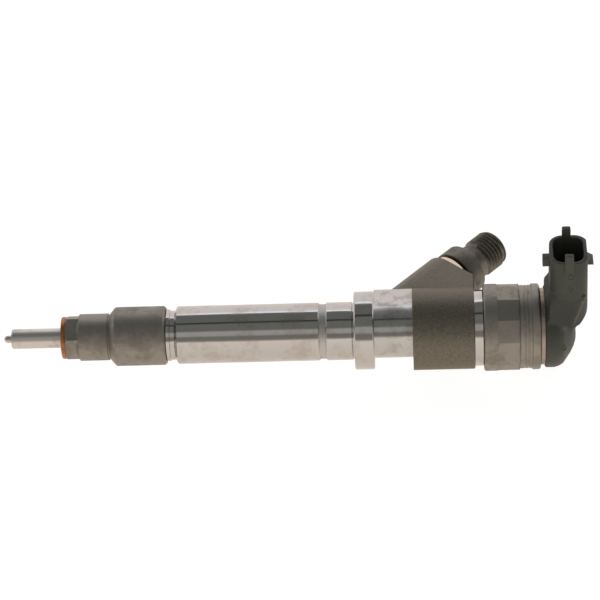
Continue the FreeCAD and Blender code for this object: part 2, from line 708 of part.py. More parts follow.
def solenoid_set():
    lead_holes = [
        cylinder("lead_hole", "magnet_x + 8", 20, LEAD_RADIUS + 0.2, y=y, z=LEAD_Z)
        for y in (-LEAD_SPACING / 2, LEAD_SPACING / 2)
    ]
    holes = fused("lead_holes", lead_holes)
    node("solenoid_core", cut("solenoid_core_shape", turned("solenoid_core_turned", [
        ("magnet_x", 3.3),
        ("magnet_x", 5.3),
        ("magnet_x + 9.4", 5.3),
        ("magnet_x + 9.4", 8.3),
        ("magnet_x", 8.3),
        ("magnet_x", "magnet_radius"),
        ("magnet_back_x", "magnet_radius"),
        ("magnet_back_x", 0),
        ("magnet_back_x - 1.2", 0),
        ("magnet_back_x - 1.2", 3.3),
    ]), holes))
    node("coil_bobbin", turned("coil_bobbin_turned", [
        ("magnet_x + 0.3", 5.35),
        ("magnet_x + 0.3", 8.2),
        ("magnet_x + 0.8", 8.2),
        ("magnet_x + 0.8", 5.85),
        ("magnet_x + 8.8", 5.85),
        ("magnet_x + 8.8", 8.2),
        ("magnet_x + 9.3", 8.2),
        ("magnet_x + 9.3", 5.35),
    ]))
    node("coil_winding", turned("coil_winding_turned", [
        ("magnet_x + 0.85", 5.9),
        ("magnet_x + 0.85", 8.1),
        ("magnet_x + 8.75", 8.1),
        ("magnet_x + 8.75", 5.9),
    ]))
    node("valve_spring", coil_spring(
        "valve_spring_coil", SIZE["magnet_x"] + 1.4, 8.6, 2.3, 0.4, 6
    ))
    node("valve_spring_shim", turned("valve_spring_shim_turned", [
        ("magnet_back_x - 2.3", 0),
        ("magnet_back_x - 2.3", 3.2),
        ("magnet_back_x - 1.25", 3.2),
        ("magnet_back_x - 1.25", 0),
    ]))
    sleeve = turned("sleeve_turned", [
        ("magnet_x", "sleeve_bore"),
        ("magnet_x", "sleeve_radius - 0.3"),
        ("magnet_x + 0.3", "sleeve_radius"),
        ("magnet_x + 4.2", "sleeve_radius"),
        ("magnet_x + 4.2", "sleeve_radius - 0.9"),
        ("magnet_x + 6.6", "sleeve_radius - 0.9"),
        ("magnet_x + 6.6", "sleeve_radius"),
        ("body_end_x + 0.05", "sleeve_radius"),
        ("body_end_x + 0.05", "body_thread - 0.05"),
        ("body_end_x + 1.9", "body_thread - 0.05"),
        ("body_end_x + 1.9", "sleeve_neck_radius"),
        ("cap_nut_end_x + 0.05", "sleeve_neck_radius"),
        ("cap_nut_end_x + 0.05", "sleeve_collar_radius - 0.2"),
        ("cap_nut_end_x + 0.25", "sleeve_collar_radius"),
        ("cap_x", "sleeve_collar_radius"),
        ("cap_x", 9.5),
        ("magnet_back_x + 2", 9.5),
        ("magnet_back_x + 2", 0),
        ("magnet_back_x + 0.05", 0),
        ("magnet_back_x + 0.05", "sleeve_bore"),
    ])
    sleeve_holes = fused("sleeve_lead_holes", [
        cylinder("sleeve_lead_hole", "magnet_x + 12", 6, LEAD_RADIUS + 0.2, y=y, z=LEAD_Z)
        for y in (-LEAD_SPACING / 2, LEAD_SPACING / 2)
    ])
    node("solenoid_sleeve", cut("sleeve_shape", sleeve, sleeve_holes))
    node("solenoid_o_ring", torus("o_ring", "magnet_x + 5.4", "sleeve_radius - 0.425", 0.46))


def solenoid_nut():
    blank = turned("solenoid_nut_turned", [
        ("cap_nut_x", "body_thread + 0.05"),
        ("cap_nut_x", "cap_nut_ring_radius - 0.5"),
        ("cap_nut_x + 0.5", "cap_nut_ring_radius"),
        ("cap_nut_ring_end_x", "cap_nut_ring_radius"),
        ("cap_nut_ring_end_x + 0.01", "cap_nut_corner"),
        ("cap_nut_wrench_end_x", "cap_nut_corner"),
        ("cap_nut_wrench_end_x + 0.3", "cap_nut_band_radius"),
        ("cap_nut_wrench_end_x + 1.7", "cap_nut_band_radius"),
        ("cap_nut_wrench_end_x + 1.8", "cap_nut_band_radius - 0.15"),
        ("cap_nut_wrench_end_x + 2.1", "cap_nut_band_radius - 0.15"),
        ("cap_nut_wrench_end_x + 2.2", "cap_nut_band_radius"),
        ("cap_nut_wrench_end_x + 3", "cap_nut_band_radius"),
        ("cap_nut_wrench_end_x + 3.1", "cap_nut_band_radius - 0.15"),
        ("cap_nut_wrench_end_x + 3.4", "cap_nut_band_radius - 0.15"),
        ("cap_nut_wrench_end_x + 3.5", "cap_nut_band_radius"),
        ("cap_nut_band_end_x - 0.2", "cap_nut_band_radius"),
        ("cap_nut_band_end_x", "cap_nut_rim_radius"),
        ("cap_nut_end_x - 0.5", "cap_nut_rim_radius"),
        ("cap_nut_end_x", "cap_nut_rim_radius - 0.5"),
        ("cap_nut_end_x", "cap_nut_lip"),
        ("body_end_x + 1.95", "cap_nut_lip"),
        ("body_end_x + 1.95", "body_thread + 0.05"),
    ])
    front = cylinder("nut_front_gauge", "cap_nut_x - 5", "cap_nut_ring_end_x - cap_nut_x + 5", 20)
    flats = prism(
        "wrench_flats", 12, "cap_nut_ring_end_x - 0.2",
        "cap_nut_wrench_end_x - cap_nut_ring_end_x + 0.4", "cap_nut_corner", -19.65,
    )
    back = cylinder("nut_back_gauge", "cap_nut_wrench_end_x", 20, 20)
    gauge = fused("wrench_gauge", [front, flats, back])
    node("solenoid_nut", common("solenoid_nut_shape", blank, gauge))


# ---------------------------------------------------------------- connector

def terminal_pins():
    """Two flat blades that stand up in the socket, each on a wire that comes from the coil."""
    middle = "(tower_front_x + tower_back_x) / 2"
    pieces = []
    for y in (-LEAD_SPACING / 2, LEAD_SPACING / 2):
        pieces.append(cylinder(
            "lead", "magnet_x + 9.35", middle + " - magnet_x - %.2f" % (9.35 - BLADE_THICK / 2),
            LEAD_RADIUS, y=y, z=LEAD_Z,
        ))
        pieces.append(block(
            "blade", middle + " - %.2f" % (BLADE_THICK / 2), y - BLADE_WIDTH / 2, LEAD_Z - 1,
            BLADE_THICK, BLADE_WIDTH, "tower_top - %.2f" % (BLADE_DEPTH + LEAD_Z - 1),
        ))
    return fused("terminal_pair", pieces)


def cap_disk():
    """The round part of the cap, from its spigot inside the sleeve to its domed back."""
    return turned("cap_disk", [
        ("magnet_back_x + 2.05", 0),
        ("magnet_back_x + 2.05", 9.45),
        ("cap_x + 0.02", 9.45),
        ("cap_x + 0.02", "cap_radius - 0.4"),
        ("cap_x + 0.42", "cap_radius"),
        ("cap_cone_x - 1", "cap_radius"),
        ("cap_cone_x + 0.6", "cap_radius - 0.5"),
        ("cap_cone_x + 2", "cap_radius - 1.4"),
        ("cap_cone_x + 4.6", "cap_back_radius + 4.5"),
        ("cap_back_x - 0.7", "cap_back_radius + 2.2"),
        ("cap_back_x", "cap_back_radius"),
        ("cap_back_x", 0),
    ])


def socket_tower():
    """The upright tower with its rounded corners, its heel over the cap's back and its foot in front."""
    heel = rounded("heel", slab("tower_block", [
        ("tower_front_x", 2),
        ("tower_front_x", "tower_top"),
        ("tower_back_x", "tower_top"),
        ("tower_back_x + tower_draft", "heel_top"),
        ("heel_foot_x", 2),
    ], "tower_width"), 4.5, is_heel_edge)
    plan = rounded("tower_plan", block(
        "tower_plan_block", "tower_front_x", "0 - tower_width / 2", 0,
        "tower_back_x + tower_draft - tower_front_x", "tower_width", "tower_top + 5",
    ), SIZE["tower_corner"], is_upright_and_long)
    foot = rounded("tower_foot", slab("tower_foot_block", [
        ("cap_x + 0.02", 2),
        ("cap_x + 0.02", "foot_top"),
        ("tower_front_x", "foot_top + foot_run"),
        ("tower_front_x + 4", "foot_top + foot_run"),
        ("tower_front_x + 4", 2),
    ], "tower_width - 3.4"), 1.3, is_foot_edge)
    return fused("socket_tower", [common("tower", heel, plan), foot])


def connector_cap(terminals):
    """The moulded cap with its socket tower, guide ribs, coding block and catch."""
    socket = rounded("socket", block(
        "socket_block", "tower_front_x + tower_wall", "tower_wall - tower_width / 2",
        "tower_floor", "tower_back_x - tower_front_x - 2 * tower_wall",
        "tower_width - 2 * tower_wall", "tower_top - tower_floor + 10",
    ), SIZE["tower_corner"] - SIZE["tower_wall"], is_upright_and_long)
    middle = "(tower_front_x + tower_back_x) / 2"
    ribs = [
        rounded("rib_rounded", block(
            "rib", middle + " - rib_width / 2" + aside, y, "tower_top - rib_rise",
            "rib_width", 1.7, "rib_rise * 2",
        ), 0.6, is_across_top)
        for y, aside in (("0 - tower_width / 2 - 0.5", ""), ("tower_width / 2 - 1.2", " - 0.3"))
    ]
    catch = slab("catch", [
        ("tower_back_x - 1", "tower_top - 3"),
        ("tower_back_x", "tower_top - 3"),
        ("tower_back_x + 2.2", "tower_top - 4.4"),
        ("tower_back_x + 2.3", "tower_top - 5.1"),
        ("tower_back_x - 1", "tower_top - 5.1"),
    ], 4.6)
    coding_block = slab("coding_block", [
        ("tower_front_x - 2.35", "tower_top - 6.05"),
        ("tower_front_x - 2.35", "tower_top - 2.7"),
        ("tower_front_x + 1", "tower_top - 2.7"),
        ("tower_front_x + 1", "tower_top - 6.05"),
    ], 3)
    moulding = fused("cap_moulding", [cap_disk(), socket_tower(), catch, coding_block])
    hollow = cut("cap_hollow", moulding, socket)
    ribbed = fused("cap_ribbed", [hollow] + ribs)
    node("connector_cap", cut("cap_shape", ribbed, terminals))
    node("terminal_pins", terminals)


def edge_ends(edge):
    return [vertex.Point for vertex in edge.Vertexes]


def is_upright_and_long(edge):
    ends = edge_ends(edge)
    if len(ends) != 2:
        return False
    step = ends[1] - ends[0]
    return abs(step.z) > 8 and math.hypot(step.x, step.y) < 0.01


def is_heel_edge(edge):
    """The two edges across the tower where its back runs into the cap."""
    ends = edge_ends(edge)
    if len(ends) != 2:
        return False
    step = ends[1] - ends[0]
    level = abs(step.x) < 0.01 and abs(step.z) < 0.01 and abs(step.y) > 4
    return level and abs(ends[0].z - SIZE["heel_top"]) < 0.01


def is_foot_edge(edge):
    """The long edges of the tower's foot that face the nozzle: two upright and three across."""
    ends = edge_ends(edge)
    at_front = all(abs(end.x - SIZE["cap_x"] - 0.02) < 0.01 for end in ends)
    return len(ends) == 2 and at_front and max(end.z for end in ends) > SIZE["foot_top"] - 1


def is_across_top(edge):
    """The two top edges of a rib that run along Y."""
    ends = edge_ends(edge)
    step = ends[1] - ends[0]
    return abs(step.y) > 1 and min(end.z for end in ends) > SIZE["tower_top"] + 1


# ---------------------------------------------------------------- build and export

def check_document():
    """Stops if any object failed or any sub-part isn't a sound solid."""
    for item in doc.Objects:
        if "Invalid" in item.State or "Error" in item.State:
            raise RuntimeError("%s failed: %s" % (item.Label, item.getStatusString()))
    for name, item in nodes:
        shape = item.Shape
        if shape.isNull() or not shape.isValid() or not shape.Solids:
            raise RuntimeError("%s is not a sound solid" % name)
        print("%-18s %d solid(s) %10.2f mm3" % (name, len(shape.Solids), shape.Volume))


def main():
    nozzle_body()
    nozzle_needle()
    copper_washer()
    nozzle_nut()
    locating_pins()
    needle_spring_set()
    control_piston()
    injector_body()
    inlet_fitting()
    edge_filter()
    valve_set()
    armature_set()
    solenoid_set()
    solenoid_nut()
    connector_cap(terminal_pins())
    doc.recompute()
    check_document()
    os.makedirs(OUT_FOLDER, exist_ok=True)
    for name, item in nodes:
        item.Shape.exportStep(os.path.join(OUT_FOLDER, name + ".step"))


main()
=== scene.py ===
import json
import math

import bmesh
import bpy
from mathutils import Matrix, Vector
from mathutils.bvhtree import BVHTree


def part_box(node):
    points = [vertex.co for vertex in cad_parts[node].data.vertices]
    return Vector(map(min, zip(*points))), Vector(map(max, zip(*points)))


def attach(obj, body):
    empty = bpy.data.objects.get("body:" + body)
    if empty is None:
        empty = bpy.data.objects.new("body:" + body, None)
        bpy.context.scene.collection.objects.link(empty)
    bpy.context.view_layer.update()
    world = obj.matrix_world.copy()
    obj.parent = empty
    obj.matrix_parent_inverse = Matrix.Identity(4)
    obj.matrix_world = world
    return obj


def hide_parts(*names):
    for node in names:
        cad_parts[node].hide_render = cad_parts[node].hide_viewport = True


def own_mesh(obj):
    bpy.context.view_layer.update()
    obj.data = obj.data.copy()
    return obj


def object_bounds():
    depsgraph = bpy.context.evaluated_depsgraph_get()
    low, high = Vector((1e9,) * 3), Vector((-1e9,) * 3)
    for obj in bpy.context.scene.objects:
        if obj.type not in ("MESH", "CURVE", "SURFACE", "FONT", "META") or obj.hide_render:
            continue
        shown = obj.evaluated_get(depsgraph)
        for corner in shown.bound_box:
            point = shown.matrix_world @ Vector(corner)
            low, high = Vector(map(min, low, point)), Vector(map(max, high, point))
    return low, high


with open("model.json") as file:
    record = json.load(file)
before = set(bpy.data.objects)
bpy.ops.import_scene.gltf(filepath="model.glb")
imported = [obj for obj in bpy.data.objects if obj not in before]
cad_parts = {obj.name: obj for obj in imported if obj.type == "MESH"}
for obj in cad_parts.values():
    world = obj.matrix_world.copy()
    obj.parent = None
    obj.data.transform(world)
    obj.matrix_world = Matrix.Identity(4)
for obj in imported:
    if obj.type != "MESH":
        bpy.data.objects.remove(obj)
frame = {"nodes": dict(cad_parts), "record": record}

# Fuel injector, in metres. +X runs from the nozzle tip to the plastic cap, +Z is the way the socket
# opens and the inlet leans towards +Y. Lengths below are in millimetres and are scaled by MM.

MM = 0.001
INLET_FOOT = Vector((114.9, 0, 0)) * MM           # where the inlet's axis crosses the injector's axis
INLET_ANGLE = math.radians(48)
NODES = frame["nodes"]
scene = bpy.context.scene
cad_low, cad_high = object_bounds()


# ---------------------------------------------------------------- camera, light and floor

def set_up_camera():
    """A long lens that looks down on the injector from the side away from its inlet."""
    elevation = math.radians(41.0)
    yaw = math.radians(2.4)
    roll = math.radians(1.45)
    distance = 1.0
    level = Vector((1, 0, 0))
    rise = Vector((0, math.sin(elevation), math.cos(elevation)))
    back = Vector((0, -math.cos(elevation), math.sin(elevation)))
    right = level * math.cos(yaw) - back * math.sin(yaw)
    back = back * math.cos(yaw) + level * math.sin(yaw)
    tilted_right = right * math.cos(roll) - rise * math.sin(roll)
    tilted_rise = rise * math.cos(roll) + right * math.sin(roll)
    target = Vector((80, 0, 0)) * MM + tilted_right * 4.6 * MM + tilted_rise * 11.5 * MM
    camera = bpy.data.objects.new("camera", bpy.data.cameras.new("camera"))
    scene.collection.objects.link(camera)
    turn = Matrix((tilted_right, tilted_rise, back)).transposed().to_4x4()
    camera.matrix_world = Matrix.Translation(target + back * distance) @ turn
    camera.data.sensor_width = 36
    camera.data.lens = 169.0
    camera.data.clip_start = 0.05
    camera.data.clip_end = 20
    scene.camera = camera


# The room in a half circle over the injector, from the far horizon to the near one: an angle in
# degrees and the colour of the light from there. The dark ceiling is what polished steel mirrors.
ROOM = [
    (0, 0.94, 0.89, 0.88),
    (42, 0.94, 0.90, 0.89),
    (46.5, 1.30, 1.34, 1.40),
    (49.5, 1.30, 1.34, 1.40),
    (53, 0.17, 0.18, 0.175),
    (88, 0.17, 0.18, 0.175),
    (92, 0.04, 0.04, 0.04),
    (95, 0.04, 0.04, 0.04),
    (98, 0.19, 0.20, 0.19),
    (125, 0.19, 0.20, 0.18),
    (130, 0.46, 0.46, 0.46),
    (145, 0.46, 0.45, 0.44),
    (150, 0.23, 0.23, 0.21),
    (165, 0.26, 0.25, 0.23),
    (172, 0.95, 0.88, 0.80),
    (180, 0.95, 0.88, 0.80),
]


def set_up_studio():
    """A plain white studio under a dark ceiling; the camera itself sees only white."""
    world = bpy.data.worlds.new("studio")
    scene.world = world
    scene.view_settings.view_transform = "Standard"
    world.use_nodes = True
    tree = world.node_tree
    tree.nodes.clear()
    place = tree.nodes.new("ShaderNodeTexCoord")
    parts = tree.nodes.new("ShaderNodeSeparateXYZ")
    tree.links.new(place.outputs["Generated"], parts.inputs["Vector"])
    angle = tree.nodes.new("ShaderNodeMath")
    angle.operation = "ARCTAN2"
    tree.links.new(parts.outputs["Z"], angle.inputs[0])
    tree.links.new(parts.outputs["Y"], angle.inputs[1])
    share = tree.nodes.new("ShaderNodeMath")
    share.operation = "DIVIDE"
    share.inputs[1].default_value = math.pi
    tree.links.new(angle.outputs[0], share.inputs[0])
    ramp = tree.nodes.new("ShaderNodeValToRGB")
    stops = ramp.color_ramp.elements
    stops.remove(stops[1])
    for number, (degrees, red, green, blue) in enumerate(ROOM):
        stop = stops[0] if number == 0 else stops.new(degrees / 180)
        stop.position = degrees / 180
        stop.color = (red, green, blue, 1)
    tree.links.new(share.outputs[0], ramp.inputs["Fac"])
    room = tree.nodes.new("ShaderNodeBackground")
    tree.links.new(ramp.outputs["Color"], room.inputs["Color"])
    white = tree.nodes.new("ShaderNodeBackground")
    white.inputs["Color"].default_value = (1.1, 1.1, 1.1, 1)
    path = tree.nodes.new("ShaderNodeLightPath")
    choice = tree.nodes.new("ShaderNodeMixShader")
    tree.links.new(path.outputs["Is Camera Ray"], choice.inputs["Fac"])
    tree.links.new(room.outputs[0], choice.inputs[1])
    tree.links.new(white.outputs[0], choice.inputs[2])
    out = tree.nodes.new("ShaderNodeOutputWorld")
    tree.links.new(choice.outputs[0], out.inputs["Surface"])


def lay_floor():
    """A pale floor, lit from below like a light table, that gives the steel a warm underside."""
    shell = bmesh.new()
    bmesh.ops.create_grid(shell, x_segments=1, y_segments=1, size=1.5)
    bmesh.ops.translate(shell, vec=(0.08, 0, cad_low.z), verts=shell.verts)
    floor = made_object(shell, "floor")
    material = bpy.data.materials.new("pale_floor")
    material.use_nodes = True
    tree = material.node_tree
    shader = tree.nodes["Principled BSDF"]
    shader.inputs["Base Color"].default_value = (0.30, 0.295, 0.29, 1)
    shader.inputs["Roughness"].default_value = 0.9
    shader.inputs["Emission Strength"].default_value = 1.0
    path = tree.nodes.new("ShaderNodeLightPath")
    glow = tree.nodes.new("ShaderNodeMix")
    glow.data_type = "RGBA"
    glow.inputs["A"].default_value = (0.80, 0.72, 0.64, 1)
    glow.inputs["B"].default_value = (0.93, 0.93, 0.93, 1)
    tree.links.new(path.outputs["Is Camera Ray"], glow.inputs["Factor"])
    tree.links.new(glow.outputs["Result"], shader.inputs["Emission Color"])
    floor.data.materials.append(material)


# ---------------------------------------------------------------- making meshes

def made_object(shell, name):
    """Turns a working mesh into an object in the scene."""
    mesh = bpy.data.meshes.new(name)
    shell.to_mesh(mesh)
    shell.free()
    piece = bpy.data.objects.new(name, mesh)
    scene.collection.objects.link(piece)
    return piece


def finished(shell, name, finish, body="holder", replaced=(), sharp=32):
    """Closes a mesh into a named piece that rides on a body and shows a finish."""
    bmesh.ops.remove_doubles(shell, verts=shell.verts, dist=0.0005 * MM)
    bmesh.ops.recalc_face_normals(shell, faces=shell.faces)
    piece = made_object(shell, name)
    for face in piece.data.polygons:
        face.use_smooth = True
    piece.data.set_sharp_from_angle(angle=math.radians(sharp))
    piece.data.materials.append(finish)
    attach(piece, body)
    if replaced:
        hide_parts(*replaced)
    return piece


def spun(outline, steps=128):
    """A closed shell turned about the X axis from its outline as (x, radius) pairs in millimetres."""
    shell = bmesh.new()
    corners = [shell.verts.new((x * MM, 0, radius * MM)) for x, radius in outline]
    followers = corners[1:] + corners[:1]
    edges = [shell.edges.new(pair) for pair in zip(corners, followers)]
    bmesh.ops.spin(
        shell, geom=corners + edges, cent=(0, 0, 0), axis=(1, 0, 0), dvec=(0, 0, 0),
        angle=2 * math.pi, steps=steps, use_merge=True, use_duplicate=False,
    )
    bmesh.ops.remove_doubles(shell, verts=shell.verts, dist=0.0005 * MM)
    bmesh.ops.recalc_face_normals(shell, faces=shell.faces)
    return shell


def soften(shell, width, segments=2, over=30):
    """Rounds every edge sharper than an angle in degrees."""
    limit = math.radians(over)
    edges = [e for e in shell.edges if len(e.link_faces) == 2 and e.calc_face_angle() > limit]
    bmesh.ops.bevel(
        shell, geom=edges, offset=width * MM, offset_type="OFFSET", segments=segments,
        profile=0.5, affect="EDGES", clamp_overlap=True, material=-1,
    )


def put_on_inlet(shell):
    """Moves what was made along X onto the inlet's own axis."""
    turn = Matrix.Translation(INLET_FOOT) @ Matrix.Rotation(INLET_ANGLE, 4, "Z")
    bmesh.ops.transform(shell, matrix=turn, verts=shell.verts)


def copied(node):
    """A merged copy of a CAD node's mesh, its flat faces joined up."""
    shell = bmesh.new()
    shell.from_mesh(NODES[node].data)
    bmesh.ops.remove_doubles(shell, verts=shell.verts, dist=0.0005 * MM)
    bmesh.ops.dissolve_limit(
        shell, angle_limit=math.radians(0.2), use_dissolve_boundaries=False,
        verts=shell.verts, edges=shell.edges, delimit=set(),
    )
    return shell


# ---------------------------------------------------------------- wiring shader nodes

def wired(tree, node, name, value):
    """Sets an input of a node to a number, a colour or another node's output."""
    if isinstance(value, bpy.types.NodeSocket):
        tree.links.new(value, node.inputs[name])
    elif isinstance(value, tuple):
        node.inputs[name].default_value = (*value, 1) if len(value) == 3 else value
    else:
        node.inputs[name].default_value = value


def maths(tree, operation, *values):
    """The output of a sum, given its operation and the values that go into it."""
    node = tree.nodes.new("ShaderNodeMath")
    node.operation = operation
    for place, value in enumerate(values):
        wired(tree, node, place, value)
    return node.outputs[0]


def noise(tree, place, scale, detail=4.0, roughness=0.55):
    """Cloudy noise over a place, from 0 to 1."""
    node = tree.nodes.new("ShaderNodeTexNoise")
    settings = (("Vector", place), ("Scale", scale), ("Detail", detail), ("Roughness", roughness))
    for name, value in settings:
        wired(tree, node, name, value)
    return node.outputs["Fac"]


def weighed(tree, first, first_share, second, second_share):
    """Two values added up in given shares."""
    first_part = maths(tree, "MULTIPLY", first, first_share)
    second_part = maths(tree, "MULTIPLY", second, second_share)
    return maths(tree, "ADD", first_part, second_part)


def eased(tree, value, low, high, start=0.0, end=1.0):
    """Carries a value from low..high to start..end with soft ends."""
    node = tree.nodes.new("ShaderNodeMapRange")
    node.interpolation_type = "SMOOTHSTEP"
    for name, entry in (
        ("Value", value), ("From Min", low), ("From Max", high), ("To Min", start), ("To Max", end)
    ):
        wired(tree, node, name, entry)
    return node.outputs["Result"]


def blended(tree, share, first, second):
    """A colour between two colours."""
    node = tree.nodes.new("ShaderNodeMix")
    node.data_type = "RGBA"
    wired(tree, node, "Factor", share)
    for name, value in (("A", first), ("B", second)):
        socket = next(s for s in node.inputs if s.name == name and s.type == "RGBA")
        if isinstance(value, bpy.types.NodeSocket):
            tree.links.new(value, socket)
        else:
            socket.default_value = (*value, 1)
    return next(s for s in node.outputs if s.type == "RGBA")


def between(tree, share, first, second):
    """A number between two numbers."""
    node = tree.nodes.new("ShaderNodeMix")
    node.data_type = "FLOAT"
    wired(tree, node, "Factor", share)
    for name, value in (("A", first), ("B", second)):
        socket = next(s for s in node.inputs if s.name == name and s.type == "VALUE")
        if isinstance(value, bpy.types.NodeSocket):
            tree.links.new(value, socket)
        else:
            socket.default_value = value
    return next(s for s in node.outputs if s.type == "VALUE")


def effect(name, inputs, outputs, build):
    """A shader node group with named inputs and outputs, filled in by build(tree, sockets)."""
    tree = bpy.data.node_groups.new(name, "ShaderNodeTree")
    kinds = {"vector": "NodeSocketVector", "number": "NodeSocketFloat"}
    for socket, kind in inputs:
        tree.interface.new_socket(socket, in_out="INPUT", socket_type=kinds[kind])
    for socket in outputs:
        tree.interface.new_socket(socket, in_out="OUTPUT", socket_type="NodeSocketFloat")
    entry = tree.nodes.new("NodeGroupInput")
    leave = tree.nodes.new("NodeGroupOutput")
    for socket, value in build(tree, entry.outputs).items():
        tree.links.new(value, leave.inputs[socket])
    return tree


def used(tree, group, **values):
    """One use of a shared effect; input names have their spaces written as underscores."""
    node = tree.nodes.new("ShaderNodeGroup")
    node.node_tree = group
    for name, value in values.items():
        wired(tree, node, name.replace("_", " "), value)
    return node.outputs


# ---------------------------------------------------------------- effects that finishes share

def build_stations(tree, given):
    """Where a point is on the injector: its station and its distance from the axis."""
    parts = tree.nodes.new("ShaderNodeSeparateXYZ")
    tree.links.new(given["Place"], parts.inputs[0])
    squares = [maths(tree, "MULTIPLY", parts.outputs[n], parts.outputs[n]) for n in (1, 2)]
    return {
        "Station": parts.outputs[0],
        "Radius": maths(tree, "SQRT", maths(tree, "ADD", *squares)),
    }


def build_turning(tree, given):
    """Fine rings left by a lathe or a grinding wheel, broken up along their length."""
    parts = tree.nodes.new("ShaderNodeSeparateXYZ")
    tree.links.new(given["Place"], parts.inputs[0])
    rings = tree.nodes.new("ShaderNodeTexNoise")
    rings.noise_dimensions = "1D"
    rings.inputs["Detail"].default_value = 5
    rings.inputs["Scale"].default_value = 1
    rings.inputs["Roughness"].default_value = 0.7
    tree.links.new(maths(tree, "MULTIPLY", parts.outputs[0], given["Rings"]), rings.inputs["W"])
    patches = eased(tree, noise(tree, given["Place"], 0.5, 3), 0.3, 0.7)
    lines = maths(tree, "MULTIPLY", rings.outputs["Fac"], maths(tree, "ADD", patches, 0.35))
    return {"Height": lines}


def build_stains(tree, given):
    """Cloudy patches with soft edges, as oil, heat and handling leave on bare steel."""
    broad = noise(tree, given["Place"], given["Size"], 5, 0.6)
    fine_size = maths(tree, "MULTIPLY", given["Size"], 5.3)
    fine = noise(tree, given["Place"], fine_size, 4, 0.6)
    mixture = weighed(tree, broad, 0.7, fine, 0.3)
    return {"Mask": eased(tree, mixture, 0.46, 0.62)}


def build_grain(tree, given):
    """The fine pits and bright specks of a forged, blasted or spark-eroded skin."""
    fine = noise(tree, given["Place"], given["Grains"], 3, 0.65)
    coarse = noise(tree, given["Place"], maths(tree, "MULTIPLY", given["Grains"], 0.28), 3, 0.6)
    return {
        "Height": weighed(tree, fine, 0.65, coarse, 0.35),
        "Specks": eased(tree, fine, 0.60, 0.72),
        "Cloud": eased(tree, coarse, 0.35, 0.65),
    }


STATIONS = effect("stations", [("Place", "vector")], ["Station", "Radius"], build_stations)
TURNING = effect("turning", [("Place", "vector"), ("Rings", "number")], ["Height"], build_turning)
STAINS = effect("stains", [("Place", "vector"), ("Size", "number")], ["Mask"], build_stains)
GRAIN = effect(
    "grain", [("Place", "vector"), ("Grains", "number")], ["Height", "Specks", "Cloud"], build_grain
)


def new_finish(name):
    """A material, its node tree, its shader and the place on the piece in millimetres."""
    material = bpy.data.materials.new(name)
    material.use_nodes = True
    tree = material.node_tree
    where = tree.nodes.new("ShaderNodeTexCoord")
    size = tree.nodes.new("ShaderNodeVectorMath")
    size.operation = "SCALE"
    size.inputs["Scale"].default_value = 1000
    tree.links.new(where.outputs["Object"], size.inputs[0])
    return material, tree, tree.nodes["Principled BSDF"], size.outputs[0]


def raised(tree, shader, height, depth):
    """Bump of a given depth in millimetres."""
    bump = tree.nodes.new("ShaderNodeBump")
    bump.inputs["Strength"].default_value = 1
    bump.inputs["Distance"].default_value = depth * MM
    tree.links.new(height, bump.inputs["Height"])
    tree.links.new(bump.outputs[0], shader.inputs["Normal"])


def metal_finish(
    name, colour, stained, rough, rings=0.0, grains=9.0, depth=0.002, size=0.12, speck=0.0
):
    """Bare or treated steel and copper: turning rings, grain, stains and specks over a base colour."""
    material, tree, shader, place = new_finish(name)
    stains = used(tree, STAINS, Place=place, Size=size)["Mask"]
    grain = used(tree, GRAIN, Place=place, Grains=grains)
    tone = blended(tree, stains, colour, stained)
    tone = blended(tree, maths(tree, "MULTIPLY", grain["Specks"], speck), tone, (0.75, 0.70, 0.64))
    wired(tree, shader, "Base Color", tone)
    shader.inputs["Metallic"].default_value = 1
    roughness = between(tree, stains, rough, rough * 1.25 + 0.04)
    roughness = maths(tree, "ADD", roughness, maths(tree, "MULTIPLY", grain["Cloud"], 0.06))
    wired(tree, shader, "Roughness", roughness)
    height = grain["Height"]
    if rings:
        turning = used(tree, TURNING, Place=place, Rings=rings)["Height"]
        height = maths(tree, "ADD", maths(tree, "MULTIPLY", height, 0.35), turning)
    raised(tree, shader, height, depth)
    return material


# Where the injector body changes its finish, in millimetres.
GROOVE_START = 91.5
GROOVE_END = 94.2
GAP_START = 111.2
GAP_END = 124.5
FORGING_START = 124.55
FORGING_END = 146.35
CORE_EDGE = 9.95               # radius
LAND_EDGE = 14.0               # radius
HEAD_EDGE = 14.56              # radius; the boss is what lies outside it
BOSS_TOP = 33.95               # up the inlet's axis


